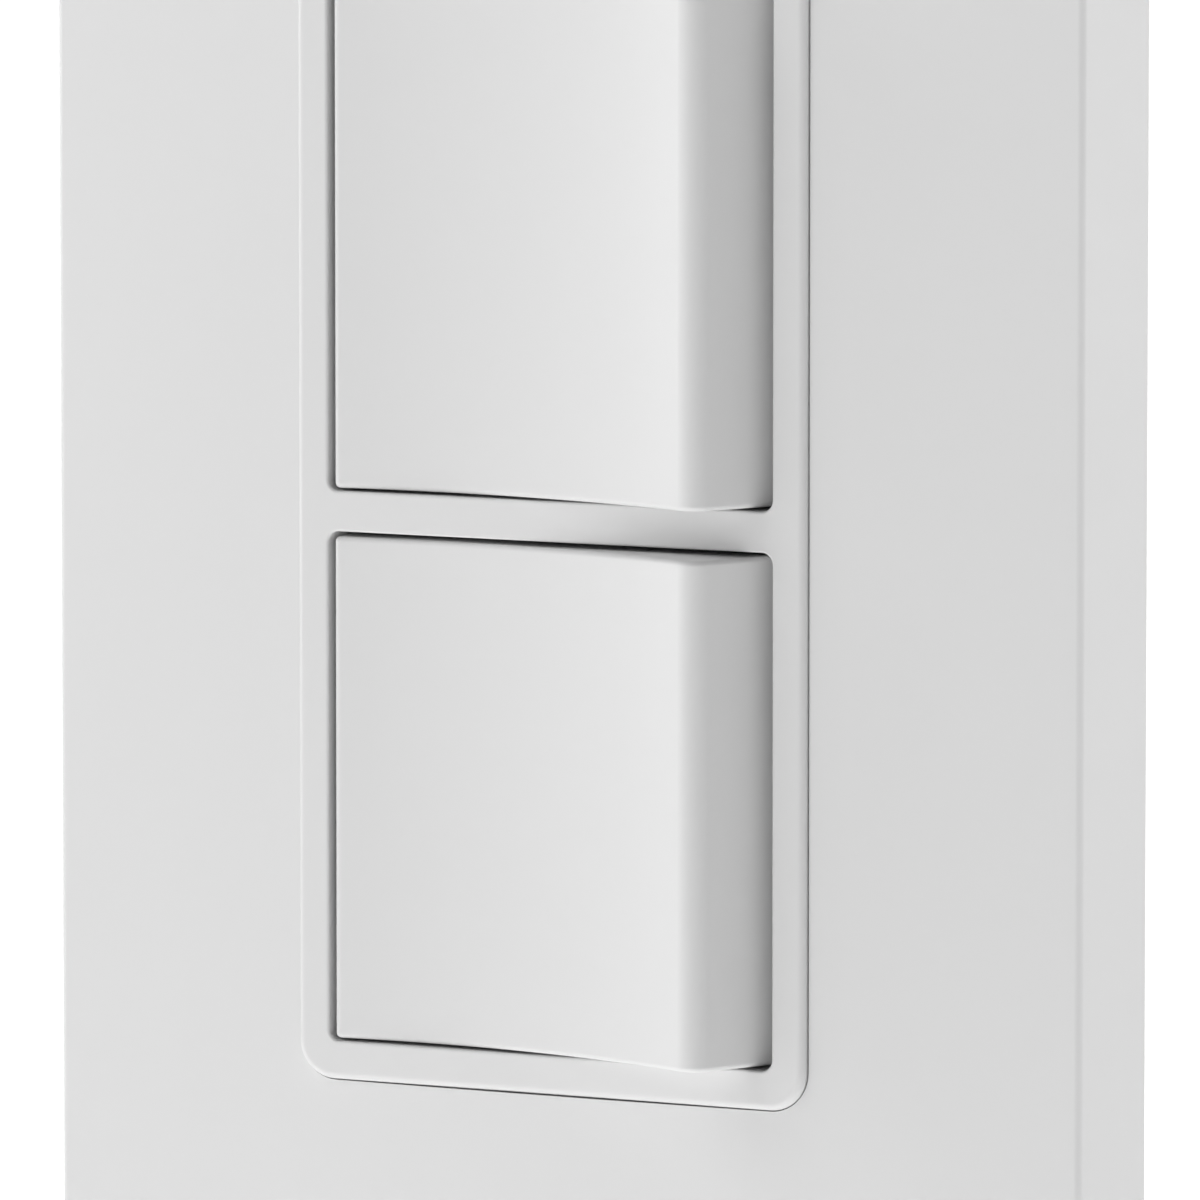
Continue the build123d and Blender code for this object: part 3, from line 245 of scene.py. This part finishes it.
SLOT_OF = {part["node"]: part["material_slot"] for part in frame["record"]["subparts"]}


def dress_cad_nodes():
    """Gives each CAD node the material of its slot."""
    for name, piece in nodes.items():
        piece.data.materials.clear()
        piece.data.materials.append(MATERIALS[SLOT_OF[name]])


dress_cad_nodes()


# ---- screws and springs ------------------------------------------------------------------------
# Each is drawn in millimetres round the Z axis, with a screw's point at 0 and its head at the top.
STEPS = 36  # faces round each screw
THREAD_PITCH, THREAD_DEPTH = 0.794, 0.49  # 32 threads to the inch, for sizes 6 and 8
THREAD_PROFILE = ((0.0, 0.0), (0.25, 0.0), (0.5625, 1.0), (0.6875, 1.0))  # share of the pitch, of the depth
SIZE_6_R, SIZE_8_R = 1.75, 2.08
POINT = 0.6  # bevel of the screw's point
RUNOUT = 0.3  # plain length between the thread and the head
SLOT_W, SLOT_D = 0.9, 0.9
CUTTER_L = 12.0  # longer than any head is wide
SAME_POINT = 0.004  # points nearer than this are one
WIRE_STEPS, COIL_STEPS = 10, 28  # faces round a spring's wire and along each turn
X, Y, Z = Vector((1, 0, 0)), Vector((0, 1, 0)), Vector((0, 0, 1))


def add_point(shape, radius, step, height):
    angle = 2 * math.pi * step / STEPS
    return shape.verts.new((radius * math.cos(angle), radius * math.sin(angle), height))


def ring(shape, radius, height, flats=None):
    """One ring of points round the axis; flats keeps it inside a hexagon of that distance across."""
    points = []
    for step in range(STEPS):
        reach = radius
        if flats is not None:
            off_middle = 2 * math.pi * step / STEPS % (math.pi / 3) - math.pi / 6
            reach = min(radius, flats / 2 / math.cos(off_middle))
        points.append(add_point(shape, reach, step, height))
    return points


def skin(shape, rings):
    """Faces between each ring of points and the next."""
    for lower, upper in zip(rings, rings[1:]):
        for step in range(len(lower)):
            after = (step + 1) % len(lower)
            shape.faces.new((lower[step], lower[after], upper[after], upper[step]))


def finished_mesh(shape, name):
    """The mesh of a closed shape, with its faces outward."""
    bmesh.ops.recalc_face_normals(shape, faces=shape.faces)
    mesh = bpy.data.meshes.new(name)
    shape.to_mesh(mesh)
    shape.free()
    return mesh


def add_thread(shape, radius, top):
    """Skin of a threaded shank from 0 up. Its rows of points follow the helix, so the crests are clean."""
    core = radius - THREAD_DEPTH
    marks = len(THREAD_PROFILE)
    turns = math.ceil(top / THREAD_PITCH) + 2
    rows = []
    for row in range(marks * (turns + 2)):
        along, depth = THREAD_PROFILE[row % marks]
        points = []
        for step in range(STEPS):
            height = (row // marks - 1.5 + along + step / STEPS) * THREAD_PITCH
            reach = core + depth * THREAD_DEPTH
            if not 0 < height < top:
                height = min(max(height, 0), top)
                reach = core
            points.append(add_point(shape, min(reach, radius - POINT + height), step, height))
        rows.append(points)
    for row in range(marks * turns):
        # each row ends where the row one turn above it begins
        lower = rows[row] + rows[row + marks][:1]
        upper = rows[row + 1] + rows[row + 1 + marks][:1]
        for step in range(STEPS):
            shape.faces.new((lower[step], lower[step + 1], upper[step + 1], upper[step]))
    loose = [point for point in shape.verts if not point.link_faces]
    bmesh.ops.delete(shape, geom=loose, context="VERTS")


def slotted_screw(name, radius, thread_top, head, head_top, slot_d=SLOT_D):
    """Screw with a threaded shank, and a head of rings (radius, height[, distance across flats])."""
    shape = bmesh.new()
    add_thread(shape, radius, thread_top)
    rings = [ring(shape, *entry) for entry in [(radius - THREAD_DEPTH, thread_top)] + head]
    skin(shape, rings)
    shape.faces.new(rings[-1])
    bmesh.ops.remove_doubles(shape, verts=shape.verts, dist=SAME_POINT)
    rim = [edge for edge in shape.edges if edge.is_boundary]
    bmesh.ops.holes_fill(shape, edges=rim, sides=0)
    return cut_slot(finished_mesh(shape, name), head_top, slot_d)


def cut_slot(whole, head_top, slot_d):
    """Takes the screwdriver slot, which runs along X, out of the head."""
    shape = bmesh.new()
    bmesh.ops.create_cube(shape, size=1.0)
    size = Matrix.Diagonal((CUTTER_L, SLOT_W, 2 * slot_d, 1.0))
    shape.transform(Matrix.Translation((0, 0, head_top)) @ size)
    cutter = bpy.data.objects.new("slot_cutter", finished_mesh(shape, "slot_cutter"))
    blank = bpy.data.objects.new("screw_blank", whole)
    for temporary in (cutter, blank):
        bpy.context.scene.collection.objects.link(temporary)
    cut = blank.modifiers.new("slot", "BOOLEAN")
    cut.operation, cut.solver, cut.object = "DIFFERENCE", "EXACT", cutter
    bpy.context.view_layer.update()
    done = bpy.data.meshes.new_from_object(blank.evaluated_get(bpy.context.evaluated_depsgraph_get()))
    for temporary in (cutter, blank):
        bpy.data.objects.remove(temporary)
    return done


def placed(drawing, slot_along, head_towards, origin):
    """A drawing, with the matrix that takes it from millimetres to its place in metres."""
    across = head_towards.cross(slot_along)
    turned = Matrix((slot_along, across, head_towards)).transposed().to_4x4()
    return drawing, Matrix.Scale(MM, 4) @ Matrix.Translation(origin) @ turned


def show_piece(name, copies, node, body, crease=32.0):
    """One object made of the placed copies, which stands for a CAD node and rides on its body."""
    shape = bmesh.new()
    for drawing, place in copies:
        start = len(shape.verts)
        shape.from_mesh(drawing)
        shape.verts.ensure_lookup_table()
        bmesh.ops.transform(shape, matrix=place, verts=shape.verts[start:])
    mesh = finished_mesh(shape, name)
    mesh.shade_smooth()
    mesh.set_sharp_from_angle(angle=math.radians(crease))
    mesh.materials.append(MATERIALS[SLOT_OF[node]])
    piece = bpy.data.objects.new(name, mesh)
    bpy.context.scene.collection.objects.link(piece)
    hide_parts(node)
    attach(piece, body)
    return piece


def show_screws(node, screw, slot_along, outward, head_r=None):
    """Puts a screw in a node's box, point first; with head_r, one at each end of the box along Z."""
    low, high = (Vector(corner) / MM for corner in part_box(node))
    half = (high - low) / 2
    point = low + half - Vector([way * size for way, size in zip(outward, half)])
    heights = (point.z,) if head_r is None else (high.z - head_r, low.z + head_r)
    copies = [placed(screw, slot_along, outward, Vector((point.x, point.y, z))) for z in heights]
    show_piece(f"{node}_threaded", copies, node, "device")


def make_box_screws():
    """Round-headed, with a plain neck that the retaining washer grips and a long thread."""
    length, neck_r, neck = 25.4, 1.6, 2.2
    head_r, head_t, edge, edge_bevel = 3.1, 1.8, 0.6, 0.1
    top, rise, dome_rings = length + head_t, head_t - edge, 8
    dome_r = (head_r**2 + rise**2) / (2 * rise)
    head = [
        (neck_r, length - neck + RUNOUT),
        (neck_r, length),
        (head_r - edge_bevel, length),
        (head_r, length + edge_bevel),
    ]
    for step in range(dome_rings - 1):
        r = head_r * (1 - step / dome_rings)
        head.append((r, top - dome_r + math.sqrt(dome_r**2 - r**2)))
    screw = slotted_screw("box_screw", SIZE_6_R, length - neck, head, top)
    show_screws("box_screws", screw, X, -Y, head_r)


def make_adapter_screws():
    """Flat countersunk heads in the adapter."""
    length, head_r, head_t, rim, edge_bevel = 9.0, 2.75, 1.0, 0.08, 0.04
    under_head = length - head_t
    head = [(SIZE_6_R, under_head + 0.02), (head_r, length - rim), (head_r - edge_bevel, length)]
    screw = slotted_screw("adapter_screw", SIZE_6_R, under_head - RUNOUT, head, length, slot_d=0.6)
    show_screws("adapter_screws", screw, X, -Y, head_r)


def make_terminal_screws(node, outward):
    """Binding heads, undercut so that they hold a wire, on the screw plates of one side."""
    length, head_r, head_t, undercut, rim = 6.0, 3.5, 1.7, 0.02, 0.5
    edge, bevel, knee_in, knee_down = 0.5, 0.9, 0.35, 0.2
    top = length + head_t
    head = [
        (SIZE_8_R, length - undercut),
        (head_r - rim, length + undercut),
        (head_r, length),
        (head_r, top - edge),
        (head_r - knee_in, top - knee_down),
        (head_r - bevel, top),
    ]
    screw = slotted_screw(f"{node}_one", SIZE_8_R, length - RUNOUT, head, top)
    show_screws(node, screw, Y, outward, head_r)


def make_ground_screw():
    """Hexagonal head with a bevelled face, pointing down."""
    length, head_t, flats, bevel, fillet = 3.3, 2.2, 7.0, 0.4, 0.02
    top, corner = length + head_t, flats / math.sqrt(3)
    knee_in, knee_down, face_in = 0.02, 0.12, 0.3
    head = [
        (SIZE_8_R, length - fillet),
        (corner, length, flats),
        (corner, top - bevel, flats),
        (flats / 2 - knee_in, top - knee_down),
        (flats / 2 - face_in, top),
    ]
    screw = slotted_screw("ground_screw_one", SIZE_8_R, length - RUNOUT, head, top)
    show_screws("ground_screw", screw, X, -Z)


def spring_mesh(name, length, coil_r, wire_r, turns, flat_turns=1.0):
    """Compression spring from the origin up Z, with its end coils closed flat."""
    shape = bmesh.new()
    open_turns = turns - 2 * flat_turns
    open_rise = length - 2 * wire_r * (1 + 2 * flat_turns)
    rings = []
    for index in range(turns * COIL_STEPS + 1):
        turn = index / COIL_STEPS
        flat_part = min(turn, flat_turns) + max(turn - (turns - flat_turns), 0)
        open_part = min(max(turn - flat_turns, 0), open_turns) / open_turns
        height = wire_r + 2 * wire_r * flat_part + open_rise * open_part
        outward = Vector((math.cos(2 * math.pi * turn), math.sin(2 * math.pi * turn), 0))
        points = []
        for step in range(WIRE_STEPS):
            spin = 2 * math.pi * step / WIRE_STEPS
            off_wire = wire_r * (math.cos(spin) * outward + math.sin(spin) * Z)
            points.append(shape.verts.new(outward * coil_r + Z * height + off_wire))
        rings.append(points)
    skin(shape, rings)
    shape.faces.new(rings[0])
    shape.faces.new(rings[-1])
    return finished_mesh(shape, name)


def make_plunger_spring(level):
    """Spring between the rocker's stem and its plunger."""
    node, joint_name = f"plunger_spring_{level}", f"plunger_{level}_slide"
    length, coil_r, wire_r, turns = 4.06, 1.42, 0.2, 7
    seat_off_axis, travel = 1.32, 1.0
    slide = next(joint for joint in frame["joints"] if joint["name"] == joint_name)
    away = -Vector(slide["axis"]).normalized()
    seat = Vector(slide["pos_m"]) / MM + away * seat_off_axis
    coil = spring_mesh(f"{node}_coil", length, coil_r, wire_r, turns)
    piece = show_piece(f"{node}_wound", [placed(coil, Z, away, seat)], node, f"rocker_{level}", crease=60.0)
    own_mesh(piece)


make_box_screws()
make_adapter_screws()
make_terminal_screws("line_screws", X)
make_terminal_screws("load_screws", -X)
make_ground_screw()
make_plunger_spring("upper")
make_plunger_spring("lower")


# ---- studio ------------------------------------------------------------------------------------
FLOOR_Z = cad_low.z - 0.5 * MM
FLOOR_REACH, FLOOR_GLOW = 6.0, 1.03
# height of the view direction where the band starts and ends to fade, and its light there
HORIZON_BAND = {"From Min": 0.05, "From Max": 0.062, "To Min": 0.9, "To Max": 0.012}
STUDIO_LIGHTS = (  # name, place and size in metres, watts
    ("front_left", (-0.55, -1.0, 0.35), (0.5, 0.7), 1.05),
    ("left_wall", (-1.15, -0.22, 0.15), (0.5, 1.0), 4.16),
    ("upper_left", (-0.6, -0.6, 0.9), (0.5, 0.7), 4.3),
    ("right_rear", (0.9, 0.45, 0.15), (0.5, 0.8), 3.82),
)


def make_floor():
    """Wide pale floor just under the object, which also lights it from below."""
    corners = [(-1, -1), (1, -1), (1, 1), (-1, 1)]
    mesh = bpy.data.meshes.new("floor")
    mesh.from_pydata([(x * FLOOR_REACH, y * FLOOR_REACH, FLOOR_Z) for x, y in corners], [], [range(4)])
    graph = Graph("floor")
    colour = graph.blend(graph.noise(300, 2), grey(0.79), grey(0.81))
    glow = {"Emission_Color": grey(1.0), "Emission_Strength": FLOOR_GLOW}
    mesh.materials.append(graph.finish(Base_Color=colour, Roughness=0.9, **glow))
    floor = bpy.data.objects.new("floor", mesh)
    bpy.context.scene.collection.objects.link(floor)


def make_world():
    """A dim room with a pale band along the horizon, so that a level view has a pale background too."""
    world = bpy.data.worlds.new("studio")
    bpy.context.scene.world = world
    world.use_nodes = True
    tree = world.node_tree
    background = tree.nodes["Background"]
    background.inputs["Color"].default_value = grey(1.0)
    direction = tree.nodes.new("ShaderNodeTexCoord").outputs["Generated"]
    height = tree.nodes.new("ShaderNodeSeparateXYZ")
    tree.links.new(direction, height.inputs[0])
    band = tree.nodes.new("ShaderNodeMapRange")
    band.interpolation_type = "SMOOTHSTEP"
    for socket, value in HORIZON_BAND.items():
        band.inputs[socket].default_value = value
    tree.links.new(height.outputs["Z"], band.inputs["Value"])
    tree.links.new(band.outputs["Result"], background.inputs["Strength"])


def area_light(name, place, size, watts):
    """Soft rectangular light, aimed at the middle of the object."""
    data = bpy.data.lights.new(name, "AREA")
    data.shape = "RECTANGLE"
    data.size, data.size_y = size
    data.energy = watts
    light = bpy.data.objects.new(name, data)
    bpy.context.scene.collection.objects.link(light)
    light.location = place
    light.rotation_mode = "QUATERNION"
    light.rotation_quaternion = (-Vector(place)).to_track_quat("-Z", "Y")


make_floor()
make_world()
for light in STUDIO_LIGHTS:
    area_light(*light)


# ---- camera ------------------------------------------------------------------------------------
CAMERA_AZIMUTH, CAMERA_ELEVATION = math.radians(27.94), math.radians(5.77)
CAMERA_DISTANCE = 739.2 * MM
CAMERA_TARGET = Vector((3.36, -6.8, -4.38)) * MM
CAMERA_LENS, CAMERA_SENSOR = 385.5, 36.0


def make_camera():
    """Long lens from the right and slightly above, framed on the lower two thirds of the plate."""
    back = Vector((
        math.sin(CAMERA_AZIMUTH) * math.cos(CAMERA_ELEVATION),
        -math.cos(CAMERA_AZIMUTH) * math.cos(CAMERA_ELEVATION),
        math.sin(CAMERA_ELEVATION),
    ))
    data = bpy.data.cameras.new("camera")
    data.sensor_width, data.lens = CAMERA_SENSOR, CAMERA_LENS
    data.clip_start, data.clip_end = 0.05, 50.0
    camera = bpy.data.objects.new("camera", data)
    bpy.context.scene.collection.objects.link(camera)
    camera.location = CAMERA_TARGET + back * CAMERA_DISTANCE
    camera.rotation_mode = "QUATERNION"
    camera.rotation_quaternion = (-back).to_track_quat("-Z", "Y")
    bpy.context.scene.camera = camera


make_camera()
bpy.context.scene.view_settings.view_transform = "Standard"
